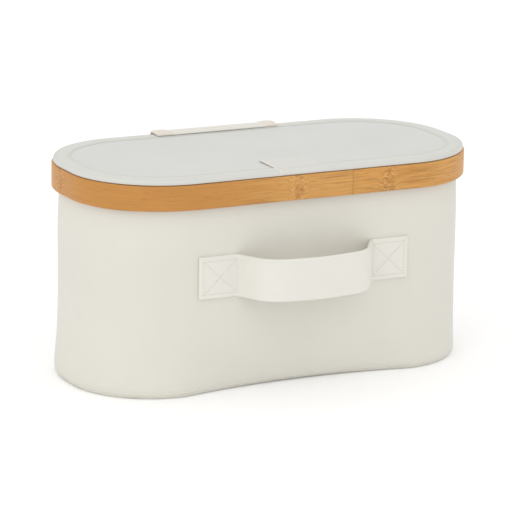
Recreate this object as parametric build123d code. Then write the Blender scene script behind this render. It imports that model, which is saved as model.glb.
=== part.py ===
from build123d import *
import math
import os

# Lidded bread bin: a board-stiffened fabric tub with a bent bamboo band round its mouth,
# a flat padded lid on a fabric hinge, and a strap handle on the front.
# Frame: +Z up, +X along the length, front towards -Y, origin on the floor under the middle.
# Every value is in millimetres.

# ---- Driving dimensions ----------------------------------------------------------------
LENGTH = 380.0            # over the bamboo band
DEPTH = 185.0             # over the bamboo band
CORNER = 81.5             # outer corner radius of the band, in plan
BAND_TOP = 190.0          # floor to the band's top edge
BAND_HEIGHT = 22.0
BAND_WALL = 5.5
BAND_ROUND = 1.0          # rounding of the band's four long edges
JOINT_X = 43.0            # where the band's two ends meet, on the front
JOINT_GAP = 0.3
JOINT_ANGLE = 55.0        # slant of that scarf joint through the band's wall

WALL_INSET = 6.6          # the fabric's outer face, in from the band's outer face
SKIN = 0.8                # coated outer fabric
BOARD = 2.4               # stiffening boards in the walls and the lid
STAPLE_ROOM = 0.7         # between the wall boards and the lining
LINING = 0.6
PLY_GAP = 0.1             # between plies that lie on each other

FADE_HEIGHT = 85.0        # below this the walls change shape towards the floor
WAIST = 12.0              # how far the long sides are drawn in at the floor, mid length
FLARE = 3.4               # how far the ends spread at the floor
TUCK = 2.5                # how far the long sides lean in at the floor, by the corners
FADE_STEPS = 4

BASE_COVER = 0.8
BASE_HEM = 5.0            # how far the base cover turns up the walls
BASE_BOARD = 3.0
BOARD_FOOT = 9.0          # the wall boards end this far up, so that the foot can round off
BOARD_JOINT = 0.4         # gap between neighbouring wall boards
BOARD_SPLIT = 107.0       # half length of the flat front and back boards

LID_INSET = 1.5           # the lid's outline, in from the band's outer face
LID_GAP = 0.4             # band top to lid underside
LID_LINING = 0.5
LID_FOAM = 0.8
LID_SKIN = 0.5
BINDING = 0.7

FITTINGS_X = -5.0         # the hinge strap and the tab sit a little left of the middle
STRAP = 1.4               # hinge strap thickness
HINGE_WIDTH = 124.0
HINGE_REACH = 16.0        # how far the strap lies over the lid from the band's outer face
HINGE_RISE = 3.0          # pivot height above the band's top
HINGE_SEW = 18.0          # height of the strap's sewn foot on the back wall
JOG = 9.0                 # height over which the strap steps in from the band to the wall

TAB_WIDTH = 44.0
TAB_THICK = 1.2
TAB_ROOT = 13.5           # tab's fold line, in from the band's front face
TAB_REACH = 28.5          # length of the loose flap
TAB_GAP = 0.4

HANDLE_HEIGHT = 36.5      # width of the handle strap, measured up the wall
HANDLE_THICK = 2.8
HANDLE_MID = 106.5        # height of the handle's middle above the floor
HANDLE_SPAN = 65.5        # half distance between the two sewn squares
HANDLE_SQUARE = 37.0
HANDLE_STAND = 34.0       # how far the grip stands off the sewn squares
HANDLE_LEAN = 15.5        # how far each riser leans inwards over that distance
CORE_THICK = 1.4
CORE_MARGIN = 4.0         # folded edge of the cover around the core
PATCH_THICK = 0.8
PATCH_MARGIN = 3.0        # how far a patch reaches past what is sewn to it, sideways
PATCH_INSET = 2.0         # how far a handle patch stays inside the strap's edges

STAPLE_CROWN = 10.0
STAPLE_WIRE = 0.6
STAPLE_BITE = 3.5         # how far the legs go into the bamboo

# ---- Derived places --------------------------------------------------------------------
BAND_FOOT = BAND_TOP - BAND_HEIGHT
WALL_TOP = BAND_TOP - 1.4
WALL_FRONT = DEPTH / 2 - WALL_INSET
WALL_FOOT = BASE_COVER + PLY_GAP
BOARD_IN = SKIN + PLY_GAP
LINING_IN = BOARD_IN + BOARD + STAPLE_ROOM
FLOOR_TOP = WALL_FOOT + BASE_BOARD + PLY_GAP + LINING
LID_UNDER = BAND_TOP + LID_GAP
LID_BOARD_FOOT = LID_UNDER + LID_LINING + PLY_GAP
LID_FOAM_FOOT = LID_BOARD_FOOT + BOARD + PLY_GAP
LID_SKIN_FOOT = LID_FOAM_FOOT + LID_FOAM + PLY_GAP
LID_TOP = LID_SKIN_FOOT + LID_SKIN
PIVOT_Y = DEPTH / 2 + PLY_GAP + STRAP / 2
PIVOT_Z = BAND_TOP + HINGE_RISE
BIG = 2 * LENGTH


def outline(z, half_length, half_depth, radius, waist=0.0):
    """Plan outline at height z: short straight ends, round corners, drawn-in long sides."""
    cx = half_length - radius
    cy = half_depth - radius
    mid = half_depth - waist

    def corner(sx, sy, first):
        diagonal = radius / math.sqrt(2)
        on_long = (sx * cx, sy * half_depth, z)
        on_end = (sx * half_length, sy * cy, z)
        knee = (sx * (cx + diagonal), sy * (cy + diagonal), z)
        ends = (on_long, knee, on_end) if first == "long" else (on_end, knee, on_long)
        return ThreePointArc(*ends)

    def long_side(sy, sx):
        start = (sx * cx, sy * half_depth, z)
        end = (-sx * cx, sy * half_depth, z)
        if waist == 0:
            return Line(start, end)
        return ThreePointArc(start, (0, sy * mid, z), end)

    edges = [
        corner(1, -1, "long"),
        Line((half_length, -cy, z), (half_length, cy, z)),
        corner(1, 1, "end"),
        long_side(1, 1),
        corner(-1, 1, "long"),
        Line((-half_length, cy, z), (-half_length, -cy, z)),
        corner(-1, -1, "end"),
        long_side(-1, -1),
    ]
    return make_face(Wire(edges))


def wall_section(z, inset):
    """Outline of the wall at height z, inset from the fabric's outer face."""
    fade = max(0.0, 1 - z / FADE_HEIGHT) ** 2
    gone = WALL_INSET + inset
    return outline(
        z,
        LENGTH / 2 - gone + FLARE * fade,
        DEPTH / 2 - gone - TUCK * fade,
        CORNER - gone,
        WAIST * fade,
    )


def slab(z0, z1):
    """Everything between two heights."""
    return Pos(0, 0, (z0 + z1) / 2) * Box(BIG, BIG, z1 - z0)


def wall_block(inset, z0, z1):
    """Solid filling the tub's outline between two heights, inset from the outer face."""
    heights = [FADE_HEIGHT * k / FADE_STEPS for k in range(FADE_STEPS + 1)]
    block = loft([wall_section(z, inset) for z in heights + [BAND_TOP]], ruled=True)
    return block & slab(z0, z1)


def wall_ring(outer, inner, z0, z1):
    """One ply of the wall."""
    return wall_block(outer, z0, z1) - wall_block(inner, z0, z1)


def rim_plate(inset, z0, z1):
    """Flat plate that follows the band's outline, inset from its outer face."""
    face = outline(z0, LENGTH / 2 - inset, DEPTH / 2 - inset, CORNER - inset)
    return extrude(face, amount=z1 - z0, dir=(0, 0, 1))


def strip(path, thickness, width, across):
    """Flat strap: a thickness by width section carried along a path."""
    start = Plane(path @ 0, x_dir=across, z_dir=path % 0)
    return sweep(start * Rectangle(width, thickness), path=path)


def block(x0, x1, y0, y1, z0, z1):
    """Box between two corners."""
    return Pos((x0 + x1) / 2, (y0 + y1) / 2, (z0 + z1) / 2) * Box(x1 - x0, y1 - y0, z1 - z0)


# ---- Bamboo band and its staples -------------------------------------------------------
def bamboo_band():
    band = rim_plate(0, BAND_FOOT, BAND_TOP) - rim_plate(BAND_WALL, BAND_FOOT, BAND_TOP)
    long_edges = band.edges().filter_by(lambda e: abs(e.center().Z - BAND_TOP) < 0.01
                                        or abs(e.center().Z - BAND_FOOT) < 0.01)
    band = fillet(long_edges, BAND_ROUND)
    cut = Box(JOINT_GAP, 4 * BAND_WALL, 2 * BAND_HEIGHT)
    place = Pos(JOINT_X, -DEPTH / 2 + BAND_WALL / 2, BAND_TOP - BAND_HEIGHT / 2)
    return band - place * Rot(0, 0, JOINT_ANGLE) * cut


def staple_places():
    """Plan position on the fabric's outer face, and outward direction, of each staple."""
    half_x = LENGTH / 2 - WALL_INSET
    half_y = DEPTH / 2 - WALL_INSET
    radius = CORNER - WALL_INSET
    places = []
    for side in (-1, 1):
        for x in (-84.0, -30.0, 24.0, 84.0):
            places.append((x, side * half_y, 90.0 * side))
        places.append((side * half_x, 0.0, 0.0 if side > 0 else 180.0))
        for end in (-1, 1):
            angle = math.degrees(math.atan2(side, end))
            x = end * (half_x - radius) + radius * math.cos(math.radians(angle))
            y = side * (half_y - radius) + radius * math.sin(math.radians(angle))
            places.append((x, y, angle))
    return places


def band_staples():
    crown_out = -(BOARD_IN + BOARD)
    leg_end = WALL_INSET - BAND_WALL + STAPLE_BITE
    crown = block(crown_out - STAPLE_WIRE, crown_out, -STAPLE_CROWN / 2, STAPLE_CROWN / 2,
                  -STAPLE_WIRE / 2, STAPLE_WIRE / 2)
    staple = crown
    for side in (-1, 1):
        y = side * (STAPLE_CROWN - STAPLE_WIRE) / 2
        staple += block(crown_out - STAPLE_WIRE, leg_end, y - STAPLE_WIRE / 2,
                        y + STAPLE_WIRE / 2, -STAPLE_WIRE / 2, STAPLE_WIRE / 2)
    z = BAND_TOP - BAND_HEIGHT / 2
    return [Pos(x, y, z) * Rot(0, 0, turn) * staple for x, y, turn in staple_places()]


# ---- Tub walls and base ----------------------------------------------------------------
def outer_skin():
    wall = wall_ring(0, SKIN, WALL_FOOT, WALL_TOP)
    turned_edge = wall_ring(0, LINING_IN + LINING, WALL_TOP, WALL_TOP + SKIN)
    return wall + turned_edge


def wall_boards():
    """Flat front and back boards, and the two bent end boards."""
    ring = wall_ring(BOARD_IN, BOARD_IN + BOARD, BOARD_FOOT, WALL_TOP - PLY_GAP)
    half = BOARD_SPLIT - BOARD_JOINT
    front = ring & block(-half, half, -DEPTH, 0, 0, BAND_TOP)
    back = ring & block(-half, half, 0, DEPTH, 0, BAND_TOP)
    left = ring & block(-LENGTH, -BOARD_SPLIT, -DEPTH, DEPTH, 0, BAND_TOP)
    right = ring & block(BOARD_SPLIT, LENGTH, -DEPTH, DEPTH, 0, BAND_TOP)
    return front, back, left, right


def wall_lining():
    return wall_ring(LINING_IN, LINING_IN + LINING, FLOOR_TOP + PLY_GAP, WALL_TOP - PLY_GAP)


def base_cover():
    outside = -(BASE_COVER + PLY_GAP)
    tray = wall_block(outside, 0, BASE_HEM)
    return tray - wall_block(-PLY_GAP, BASE_COVER, BASE_HEM + 1)


def base_board():
    return wall_block(BOARD_IN + BOARD + PLY_GAP, WALL_FOOT, WALL_FOOT + BASE_BOARD)


def floor_lining():
    foot = WALL_FOOT + BASE_BOARD + PLY_GAP
    return wall_block(BOARD_IN + BOARD + PLY_GAP, foot, FLOOR_TOP)


# ---- Front handle ----------------------------------------------------------------------
def handle_path(trim):
    """Middle line of the handle strap, seen from above, cut short by trim at both ends."""
    y = -(WALL_FRONT + PLY_GAP + HANDLE_THICK / 2)
    tip = HANDLE_SPAN + HANDLE_SQUARE - trim
    shoulder = HANDLE_SPAN - HANDLE_LEAN
    points = [(-tip, y), (-HANDLE_SPAN, y), (-shoulder, y - HANDLE_STAND),
              (shoulder, y - HANDLE_STAND), (HANDLE_SPAN, y), (tip, y)]
    points = [(px, py, HANDLE_MID) for px, py in points]
    return FilletPolyline(*points, radius=[7.0, 28.0, 28.0, 7.0])


def handle_core():
    return strip(handle_path(CORE_MARGIN), CORE_THICK, HANDLE_HEIGHT - 2 * CORE_MARGIN, (0, 0, 1))


def handle_cover():
    return strip(handle_path(0), HANDLE_THICK, HANDLE_HEIGHT, (0, 0, 1)) - handle_core()


def patch_blocks(thickness):
    """One block behind the skin at each sewn square of the handle."""
    half = (HANDLE_SQUARE + 2 * PATCH_MARGIN) / 2
    y0 = -(WALL_FRONT - BOARD_IN)
    tall = HANDLE_HEIGHT / 2 - PATCH_INSET
    patches = []
    for side in (-1, 1):
        x = side * (HANDLE_SPAN + HANDLE_SQUARE / 2 - 2 * PATCH_MARGIN)
        patches.append(block(x - half, x + half, y0, y0 + thickness,
                             HANDLE_MID - tall, HANDLE_MID + tall))
    return patches


# ---- Fabric hinge ----------------------------------------------------------------------
def hinge_tail():
    """Body half: from the fold, down the band's outer face, to the foot on the back wall."""
    foot_y = WALL_FRONT + PLY_GAP + STRAP / 2
    knee = BAND_FOOT - 1.0
    points = [(PIVOT_Y, PIVOT_Z), (PIVOT_Y, knee), (foot_y, knee - JOG),
              (foot_y, knee - JOG - HINGE_SEW)]
    path = FilletPolyline(*[(FITTINGS_X, y, z) for y, z in points], radius=[3.0, 3.0])
    tail = strip(path, STRAP, HINGE_WIDTH, (1, 0, 0))
    rounded_fold = Pos(FITTINGS_X, PIVOT_Y, PIVOT_Z) * Rot(0, 90, 0) * Cylinder(STRAP / 2, HINGE_WIDTH)
    return tail + rounded_fold


def hinge_patch_block(thickness):
    y1 = WALL_FRONT - BOARD_IN
    top = BAND_FOOT - JOG
    half = HINGE_WIDTH / 2 + PATCH_MARGIN
    foot = top - HINGE_SEW - PATCH_MARGIN
    return block(FITTINGS_X - half, FITTINGS_X + half, y1 - thickness, y1, foot, top)


def hinge_lid_leaf():
    y0 = DEPTH / 2 - HINGE_REACH
    z0 = LID_TOP + PLY_GAP
    half = HINGE_WIDTH / 2
    return block(FITTINGS_X - half, FITTINGS_X + half, y0, DEPTH / 2 - LID_INSET, z0, z0 + STRAP)


# ---- Lid and its pull tab --------------------------------------------------------------
def lid_ply(z0, thickness):
    return rim_plate(LID_INSET + BINDING + PLY_GAP, z0, z0 + thickness)


def lid_binding():
    ring = rim_plate(LID_INSET, LID_UNDER, LID_TOP)
    return ring - rim_plate(LID_INSET + BINDING, LID_UNDER, LID_TOP)


def pull_tab_base():
    """Fixed part: lies on the lid's front margin and turns down over its edge."""
    x0, x1 = FITTINGS_X - TAB_WIDTH / 2, FITTINGS_X + TAB_WIDTH / 2
    front = -(DEPTH / 2 - LID_INSET)
    root = -(DEPTH / 2 - TAB_ROOT)
    top = LID_TOP + PLY_GAP + TAB_THICK
    flat = block(x0, x1, front - PLY_GAP, root, LID_TOP + PLY_GAP, top)
    turned = block(x0, x1, front - PLY_GAP - TAB_THICK, front - PLY_GAP, LID_UNDER, top)
    return flat + turned


def tab_pivot():
    """Fold line of the loose flap, as (y, z)."""
    half = TAB_THICK / 2
    return -(DEPTH / 2 - TAB_ROOT) + half + TAB_GAP, LID_TOP + TAB_GAP + half


def pull_tab_flap():
    y, z = tab_pivot()
    x0, x1 = FITTINGS_X - TAB_WIDTH / 2, FITTINGS_X + TAB_WIDTH / 2
    flap = block(x0, x1, y, y + TAB_REACH, z - TAB_THICK / 2, z + TAB_THICK / 2)
    return flap + Pos(FITTINGS_X, y, z) * Rot(0, 90, 0) * Cylinder(TAB_THICK / 2, TAB_WIDTH)


# ---- All sub-parts ---------------------------------------------------------------------
def build():
    staples = Compound(children=band_staples())
    patch_room = PATCH_THICK + PLY_GAP
    front, back, left, right = wall_boards()
    for recess in patch_blocks(patch_room):
        front -= recess
    back -= hinge_patch_block(patch_room)
    return {
        "bamboo_band": bamboo_band() - staples,
        "band_staples": staples,
        "outer_skin": outer_skin() - staples,
        "front_board": front - staples,
        "back_board": back - staples,
        "left_end_board": left - staples,
        "right_end_board": right - staples,
        "wall_lining": wall_lining(),
        "base_cover": base_cover(),
        "base_board": base_board(),
        "floor_lining": floor_lining(),
        "handle_cover": handle_cover(),
        "handle_core": handle_core(),
        "handle_patches": Compound(children=patch_blocks(PATCH_THICK)),
        "hinge_tail": hinge_tail(),
        "hinge_patch": hinge_patch_block(PATCH_THICK),
        "hinge_lid_leaf": hinge_lid_leaf(),
        "lid_lining": lid_ply(LID_UNDER, LID_LINING),
        "lid_board": lid_ply(LID_BOARD_FOOT, BOARD),
        "lid_foam": lid_ply(LID_FOAM_FOOT, LID_FOAM),
        "lid_top_skin": lid_ply(LID_SKIN_FOOT, LID_SKIN),
        "lid_binding": lid_binding(),
        "pull_tab_base": pull_tab_base(),
        "pull_tab_flap": pull_tab_flap(),
    }


os.makedirs("parts", exist_ok=True)
parts = build()
for name, shape in parts.items():
    export_step(shape, f"parts/{name}.step")
    size = shape.bounding_box().size
    print(f"{name:18s} {size.X:7.1f} {size.Y:7.1f} {size.Z:7.1f}")
print(f"lid hinge at y {PIVOT_Y:.2f} z {PIVOT_Z:.2f}, lid top {LID_TOP:.2f}")
print("tab fold at y {:.2f} z {:.2f}".format(*tab_pivot()))
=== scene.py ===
# %% [markdown]
# # A fabric bread bin with a bamboo band
# The bin is a tub of coated fabric stretched over thin boards. A strip of bamboo is bent round its
# mouth, a flat padded lid lies on top of it, and a strap of the same fabric is the lid's hinge.
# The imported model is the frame: it gives every place, so it is loaded first and never changed.

# %% Load the frame
import math
import bmesh
import bpy
import numpy as np
from mathutils import Matrix, Vector
from mathutils.bvhtree import BVHTree


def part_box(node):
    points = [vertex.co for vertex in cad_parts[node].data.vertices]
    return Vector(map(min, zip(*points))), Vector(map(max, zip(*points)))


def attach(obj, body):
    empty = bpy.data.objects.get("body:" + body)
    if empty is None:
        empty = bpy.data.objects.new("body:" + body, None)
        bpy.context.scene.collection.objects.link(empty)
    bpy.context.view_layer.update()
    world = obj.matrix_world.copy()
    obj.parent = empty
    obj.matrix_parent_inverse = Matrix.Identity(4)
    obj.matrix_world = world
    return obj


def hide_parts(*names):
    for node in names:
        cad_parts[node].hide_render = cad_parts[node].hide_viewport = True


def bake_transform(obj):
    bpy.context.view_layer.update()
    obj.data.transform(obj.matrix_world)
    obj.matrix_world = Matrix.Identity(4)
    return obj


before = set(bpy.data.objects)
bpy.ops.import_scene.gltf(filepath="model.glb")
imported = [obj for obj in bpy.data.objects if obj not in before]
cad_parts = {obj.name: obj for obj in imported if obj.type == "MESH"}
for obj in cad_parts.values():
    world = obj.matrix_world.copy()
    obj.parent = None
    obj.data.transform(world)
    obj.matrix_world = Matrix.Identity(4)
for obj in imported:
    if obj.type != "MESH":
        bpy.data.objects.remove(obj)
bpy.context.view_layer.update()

# %% [markdown]
# ## Sizes
# Lengths are in metres. What the frame can say is read from it: the band's box gives the length,
# the depth and the height of the mouth, and the other boxes give the heights of the plies. Only
# the shapes of the curves are repeated here, because a box doesn't hold them.

# %% Sizes from the frame
MM = 0.001
band_lo, band_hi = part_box("bamboo_band")
skin_lo, skin_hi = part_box("outer_skin")
lid_lo, lid_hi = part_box("lid_binding")
strap_lo, strap_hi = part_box("handle_cover")
leaf_lo, leaf_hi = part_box("hinge_lid_leaf")
tail_lo, tail_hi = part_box("hinge_tail")
flap_lo, flap_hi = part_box("pull_tab_flap")
tab_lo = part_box("pull_tab_base")[0]
HALF_LENGTH = band_hi.x
HALF_DEPTH = band_hi.y
BAND_TOP = band_hi.z
BAND_FOOT = band_lo.z
LID_FOOT = lid_lo.z
LID_TOP = lid_hi.z
CORNER = 81.5 * MM          # outer corner radius of the band, in plan
BAND_WALL = 5.5 * MM
WALL_INSET = 6.6 * MM       # the fabric's outer face, in from the band's outer face
FADE = 85 * MM              # below this height the walls change shape
WAIST = 12 * MM             # how far the long sides are drawn in at the floor
FLARE = 3.4 * MM
TUCK = 2.5 * MM
SKIN = 0.8 * MM
LINING_IN = 4.0 * MM        # the lining's outer face, in from the fabric's outer face
print(f"band {2000 * HALF_LENGTH:.0f} x {2000 * HALF_DEPTH:.0f} mm, mouth at {1000 * BAND_TOP:.0f} mm")

# %% [markdown]
# ## One outline for everything
# The tub, the band, the lid and the linings all follow one plan: short straight ends, round
# corners and long sides. The points are shared out once as a segment number and a share along it,
# so that row after row of a wall lines up. Quads that line up shade cleanly.

# %% The plan outline
PER_CORNER, PER_END, PER_SIDE = 40, 8, 72


def share_out():
    """Segment number and share along it of each point, anticlockwise from the front right."""
    segment, share = [], []
    for k, count in enumerate([PER_CORNER, PER_END, PER_CORNER, PER_SIDE] * 2):
        segment += [k] * count
        share += [i / count for i in range(count)]
    return np.array(segment), np.array(share)


SEGMENT, SHARE = share_out()


def plan(half_length, half_depth, radius, waist=0.0):
    """Points of the outline, as an array of (x, y)."""
    cx, cy = half_length - radius, half_depth - radius
    points = np.zeros((len(SEGMENT), 2))
    for k, (sx, sy, start) in {0: (1, -1, -90), 2: (1, 1, 0), 4: (-1, 1, 90), 6: (-1, -1, 180)}.items():
        at = SEGMENT == k
        angle = np.radians(start + 90 * SHARE[at])
        points[at] = np.c_[sx * cx + radius * np.cos(angle), sy * cy + radius * np.sin(angle)]
    for k, side in ((1, 1), (5, -1)):
        at = SEGMENT == k
        points[at] = np.c_[np.full(at.sum(), side * half_length), side * cy * (2 * SHARE[at] - 1)]
    for k, side in ((3, 1), (7, -1)):
        at = SEGMENT == k
        along = 1 - 2 * SHARE[at]
        drawn_in = waist * (1 - along**2)
        points[at] = np.c_[side * cx * along, side * (half_depth - drawn_in)]
    return points


def outward(points):
    """Unit vectors that point out of a closed outline."""
    along = np.roll(points, -1, axis=0) - np.roll(points, 1, axis=0)
    out = np.c_[along[:, 1], -along[:, 0]]
    return out / np.linalg.norm(out, axis=1)[:, None]


def rim_plan(inset):
    """The band's outline, inset from its outer face."""
    return plan(HALF_LENGTH - inset, HALF_DEPTH - inset, CORNER - inset)


def tub_plan(z, inset):
    """The tub's outline at height z, inset from the fabric's outer face."""
    fade = max(0.0, 1 - z / FADE) ** 2
    gone = WALL_INSET + inset
    return plan(
        HALF_LENGTH - gone + FLARE * fade, HALF_DEPTH - gone - TUCK * fade, CORNER - gone, WAIST * fade
    )


def run_length(points):
    """Distance along a closed outline at each point, and the whole way round at the end."""
    steps = np.linalg.norm(np.roll(points, -1, axis=0) - points, axis=1)
    return np.concatenate([[0], np.cumsum(steps)])


AROUND = run_length(rim_plan(0))
print(f"{len(SEGMENT)} points round an outline of {1000 * AROUND[-1]:.0f} mm")

# %% [markdown]
# ## Grids of quads
# Walls, bands and straps are all grids: rows of points joined by quads, closed in one direction or
# both. Writing the grid out gives a clean mesh and, for each corner of each face, a UV place
# measured in metres, so that a weave or a wood grain has the same scale on every piece. A few
# one-line helpers come first, because every piece uses them.

# %% Small helpers


def at_height(points, z):
    """Plan points (x, y) at height z, which is one number or one for each point."""
    return np.c_[points, z * np.ones(len(points))]


def distance_along(points):
    """Distance from the first point to each point of an open line."""
    return np.concatenate([[0], np.cumsum(np.linalg.norm(np.diff(points, axis=0), axis=1))])


def bell(x, middle, width):
    """1 at the middle, falling off softly to both sides."""
    return np.exp(-(((x - middle) / width) ** 2))


def share_of(part, whole):
    """The part as a share of the whole, kept from 0 to 1."""
    return min(1.0, max(0.0, part / whole))


def add_object(name, data):
    obj = bpy.data.objects.new(name, data)
    bpy.context.scene.collection.objects.link(obj)
    return obj


# %% Grid helper
def grid_object(name, points, u, v, close_rows=False, close_columns=True):
    """Mesh object from points[row][column]; u and v are the metres along columns and rows."""
    rows, columns = points.shape[:2]
    last_row = rows if close_rows else rows - 1
    last_column = columns if close_columns else columns - 1
    i, j = np.meshgrid(np.arange(last_row), np.arange(last_column), indexing="ij")
    i, j = i.ravel(), j.ravel()
    up, on = (i + 1) % rows, (j + 1) % columns
    faces = np.c_[i * columns + j, i * columns + on, up * columns + on, up * columns + j]
    mesh = bpy.data.meshes.new(name)
    mesh.from_pydata(points.reshape(-1, 3).tolist(), [], faces.tolist())
    corners = ((j, i), (j + 1, i), (j + 1, i + 1), (j, i + 1))
    places = np.stack([np.c_[u[a], v[b]] for a, b in corners], 1)
    layer = mesh.uv_layers.new(name="cloth")
    layer.data.foreach_set("uv", places.astype(np.float32).ravel())
    mesh.shade_smooth()
    return add_object(name, mesh)


def sleeve_object(name, rows, gap):
    """Closed sleeve from rows of one outline; gap is the distance from the last row to the first."""
    points = np.array(rows)
    v = distance_along(points[:, 0])
    return grid_object(name, points, AROUND, np.append(v, v[-1] + gap), close_rows=True)


def tidy_mesh(obj, merge=1e-6):
    """Merges doubles, drops faces with no area and turns every face outwards."""
    bm = bmesh.new()
    bm.from_mesh(obj.data)
    bmesh.ops.remove_doubles(bm, verts=bm.verts, dist=merge)
    bmesh.ops.dissolve_degenerate(bm, edges=bm.edges, dist=merge)
    bmesh.ops.recalc_face_normals(bm, faces=bm.faces)
    if bm.calc_volume(signed=True) < 0:
        bmesh.ops.reverse_faces(bm, faces=bm.faces)
    bm.to_mesh(obj.data)
    bm.free()
    return obj


def smooth_noise(places, scale, seed):
    """Soft bumps from -1 to 1 at each place, from a few crossed waves with a fixed seed."""
    draw = np.random.default_rng(seed)
    total = np.zeros(len(places))
    for _ in range(6):
        direction = draw.normal(size=3)
        direction *= 2 * math.pi / (scale * np.linalg.norm(direction) * draw.uniform(0.7, 1.4))
        total += np.sin(places @ direction + draw.uniform(0, 2 * math.pi))
    return total / 3.5


def finish_piece(obj, body, slot, material, *nodes):
    """Material, finish slot (not used), CAD nodes it stands for, and the body it moves with."""
    obj.data.materials.clear()
    obj.data.materials.append(material)
    if nodes:
        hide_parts(*nodes)
    if body:
        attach(obj, body)
    print(f"{obj.name}: {len(obj.data.polygons)} faces")
    return obj


# %% [markdown]
# ## Shader maths as expressions
# A shader made of many small sums is easier to read as a formula. `Wire` wraps one socket, and each
# operator on it adds the Math node it needs. Everything else comes from `Paint.node`, which takes a
# node's type, its settings and the values or links of its sockets.

# %% Wire and Paint


def operator(operation, swapped=False):
    """A method of Wire that adds one Math node."""
    def apply(self, other):
        return self.maths(operation, *((other, self) if swapped else (self, other)))
    return apply


class Wire:
    """One output socket that can be added and multiplied like a number."""

    __add__ = __radd__ = operator("ADD")
    __mul__ = __rmul__ = operator("MULTIPLY")
    __sub__, __rsub__ = operator("SUBTRACT"), operator("SUBTRACT", swapped=True)

    def __init__(self, paint, socket):
        self.paint, self.socket = paint, socket

    def maths(self, operation, *values):
        return self.paint.node("ShaderNodeMath", {"operation": operation}, dict(enumerate(values)))

    def sine(self):
        return self.maths("SINE", self)

    def size(self):
        return self.maths("ABSOLUTE", self)

    def soft_step(self, low, high):
        """0 below low, 1 above high, and a smooth ramp between."""
        settings = {"interpolation_type": "SMOOTHSTEP", "clamp": True}
        limits = {"Value": self, "From Min": low, "From Max": high}
        return self.paint.node("ShaderNodeMapRange", settings, limits)


class Paint:
    """A material and the nodes that feed its Principled shader."""

    def __init__(self, name):
        self.material = bpy.data.materials.new(name)
        self.material.use_nodes = True
        self.tree = self.material.node_tree
        self.shader = self.tree.nodes["Principled BSDF"]

    def node(self, kind, settings=None, inputs=None, output=0):
        """Adds a node: settings first, then the values or links of its sockets."""
        node = self.tree.nodes.new(kind)
        for key, value in (settings or {}).items():
            setattr(node, key, value)
        for key, value in (inputs or {}).items():
            self.set_input(node.inputs[key], value)
        return Wire(self, node.outputs[output])

    def set_input(self, socket, value):
        """Links a wire, or sets a value; a colour is given without its alpha."""
        if isinstance(value, Wire):
            self.tree.links.new(value.socket, socket)
        else:
            socket.default_value = (*value, 1.0) if socket.type == "RGBA" else value

    def place(self, u_scale=1.0, v_scale=1.0):
        """The piece's own UV place in metres, scaled, as a vector."""
        source = self.node("ShaderNodeUVMap", {"uv_map": "cloth"})
        inputs = {0: source, 1: (u_scale, v_scale, 1.0)}
        return self.node("ShaderNodeVectorMath", {"operation": "MULTIPLY"}, inputs)

    def object_place(self):
        """The place on the object's own coordinates, for pieces with no UV."""
        return self.node("ShaderNodeTexCoord", None, None, 3)

    def split(self, vector):
        """The u and v of a vector."""
        return [self.node("ShaderNodeSeparateXYZ", None, {0: vector}, k) for k in (0, 1)]

    def noise(self, vector, scale, detail=2.0, roughness=0.5):
        inputs = {"Vector": vector, "Scale": scale, "Detail": detail, "Roughness": roughness}
        return self.node("ShaderNodeTexNoise", {"noise_dimensions": "3D"}, inputs)

    def mix(self, share, first, second, blend="MIX"):
        """Colour mix; first and second are colours or wires."""
        node = self.tree.nodes.new("ShaderNodeMix")
        node.data_type, node.blend_type = "RGBA", blend
        colours = [s for s in node.inputs if s.type == "RGBA"]
        for socket, value in zip([node.inputs[0]] + colours, (share, first, second)):
            self.set_input(socket, value)
        return Wire(self, next(s for s in node.outputs if s.type == "RGBA"))

    def set(self, **values):
        """Values or links of the shader's own sockets, with _ for the spaces in their names."""
        for key, value in values.items():
            self.set_input(self.shader.inputs[key.replace("_", " ")], value)

    def bump(self, height, distance):
        self.set(Normal=self.node("ShaderNodeBump", None, {"Height": height, "Distance": distance}))


# %% [markdown]
# ## Coated fabric
# The skin is a tight plain weave under a thin matt coating. Seen close, the threads still show as
# rows of tiny cushions; from a step away only a soft sheen and a faint unevenness remain. The weave
# is two crossed sine waves on the cloth's own UV, so it bends with every piece.

# %% Fabric materials


def woven(name, colour, roughness, pitch=0.45 * MM, relief=0.05 * MM, mottle=0.035):
    """Plain-woven cloth: thread pitch and relief in metres, mottle the depth of its clouding."""
    paint = Paint(name)
    turns = math.pi / pitch
    u, v = paint.split(paint.place(turns, turns))
    threads = u.sine() * v.sine()
    cloud = paint.noise(paint.place(), 14.0, 3.0)
    fuzz = paint.noise(paint.place(), 900.0, 2.0)
    shade = 1 - mottle * (cloud - 0.5) * 2 - mottle * (fuzz - 0.5) + threads * (mottle * 0.4)
    grey = paint.node("ShaderNodeCombineColor", None, {0: shade, 1: shade, 2: shade})
    paint.set(Base_Color=paint.mix(1.0, colour, grey, "MULTIPLY"))
    paint.set(Roughness=roughness + 0.12 * (cloud - 0.5) + 0.05 * threads)
    paint.set(Sheen_Weight=0.08, Sheen_Roughness=0.4, Specular_IOR_Level=0.35)
    paint.bump(threads + 0.8 * fuzz, relief)
    print(f"{name}: threads every {1000 * pitch:.2f} mm")
    return paint.material


fabric = woven("coated_fabric", (0.698, 0.678, 0.610), 0.62)
# The strap cloth is the same coated fabric made lighter: painted light on the handle's grip and the
# hinge strap.
strap_cloth_painted_light = woven("strap_fabric_painted_light", (0.745, 0.730, 0.668), 0.60)
# The tab cloth is the same coated fabric made darker, like the lid's: painted shade on the lid's top.
tab_cloth_painted_shade = woven("tab_fabric_painted_shade", (0.640, 0.634, 0.590), 0.60)
hem_cloth = woven("hem_fabric", (0.755, 0.690, 0.625), 0.60)
# The lid cloth is the same coated fabric made darker: painted shade on the lid's top, which takes more
# light than the walls.
lid_cloth_painted_shade = woven("lid_fabric_painted_shade", (0.622, 0.624, 0.594), 0.58)
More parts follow.
